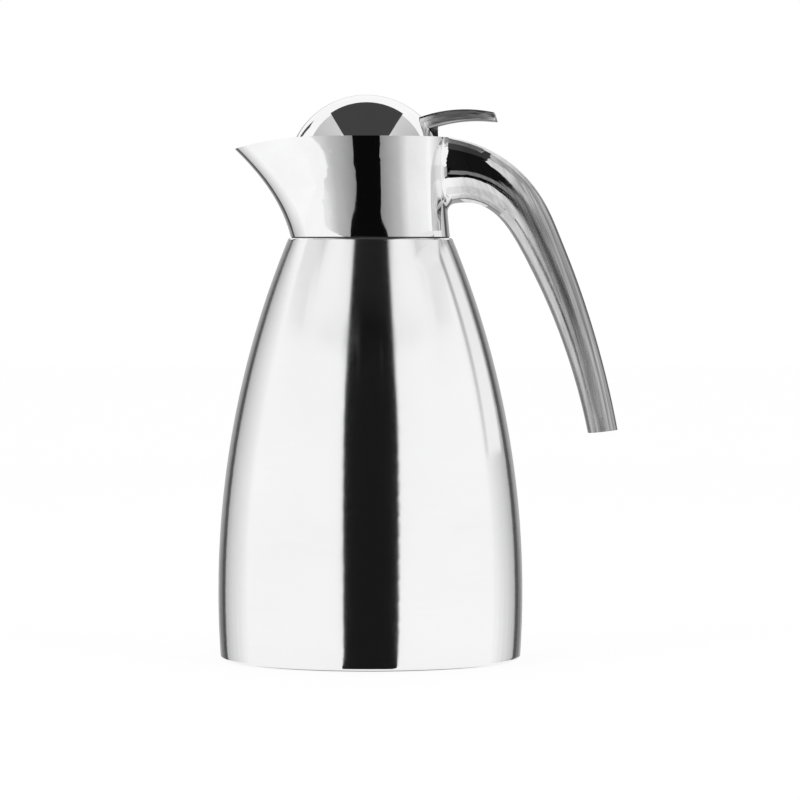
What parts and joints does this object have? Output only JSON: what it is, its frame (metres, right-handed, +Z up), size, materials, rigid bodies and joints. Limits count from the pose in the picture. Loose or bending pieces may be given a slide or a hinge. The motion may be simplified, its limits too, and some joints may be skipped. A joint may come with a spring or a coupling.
{
  "type": "thermal jug",
  "caption": "Insulated pouring jug with a turned metal body, a spout, an open handle and a dome lid that a thumb lever tips open.",
  "frame": {"origin": "centre of the foot ring's contact plane, on the body's axis", "axes": "+Z up along the body's axis; the spout points along -X and the handle stands on the +X side; the hinge pin lies along Y"},
  "size_m": [0.1874, 0.1428, 0.265],
  "materials": {
    "outer_shell": "fine brushing round the body",
    "seam_gasket": "matt",
    "collar_with_handle": "polished plating",
    "pour_insert": "satin moulded",
    "clamp_nut": "satin moulded",
    "mouth_gasket": "matt",
    "outer_flask": "clear",
    "inner_flask": "silvered glass",
    "flask_spacers": "satin moulded",
    "liner_cushion": "matt",
    "base_ring": "satin moulded",
    "base_cover": "satin moulded",
    "foot_ring": "matt",
    "hinge_bracket": "plain steel",
    "bracket_screws": "plain steel",
    "hinge_pin": "plain steel",
    "lid_dome": "polished plating",
    "thumb_lever": "polished plating",
    "lever_screws": "plain steel",
    "lid_base": "satin moulded",
    "stopper": "satin moulded",
    "stopper_seal": "matt",
    "stopper_insulation": "satin moulded",
    "stopper_screw": "plain steel",
    "stopper_cap": "satin moulded",
    "hinge_springs": "plain steel"
  },
  "bodies": {
    "jug": {"outer_shell": "outer_shell", "seam_gasket": "seam_gasket", "collar_with_handle": "collar_with_handle", "pour_insert": "pour_insert", "clamp_nut": "clamp_nut", "mouth_gasket": "mouth_gasket", "outer_flask": "outer_flask", "inner_flask": "inner_flask", "flask_spacers": "flask_spacers", "liner_cushion": "liner_cushion", "base_ring": "base_ring", "base_cover": "base_cover", "foot_ring": "foot_ring", "hinge_bracket": "hinge_bracket", "bracket_screws": "bracket_screws", "hinge_pin": "hinge_pin"},
    "lid": {"lid_dome": "lid_dome", "thumb_lever": "thumb_lever", "lever_screws": "lever_screws", "lid_base": "lid_base", "stopper": "stopper", "stopper_seal": "stopper_seal", "stopper_insulation": "stopper_insulation", "stopper_screw": "stopper_screw", "stopper_cap": "stopper_cap", "hinge_springs": "hinge_springs"}
  },
  "joints": [
    {"name": "lid_hinge", "type": "hinge", "parent": "jug", "child": "lid", "pos_m": [0.0296, 0, 0.2463], "axis": [0, 1, 0], "range_deg": [0, 26.5], "stiffness_Nm_per_rad": 0.05}
  ]
}
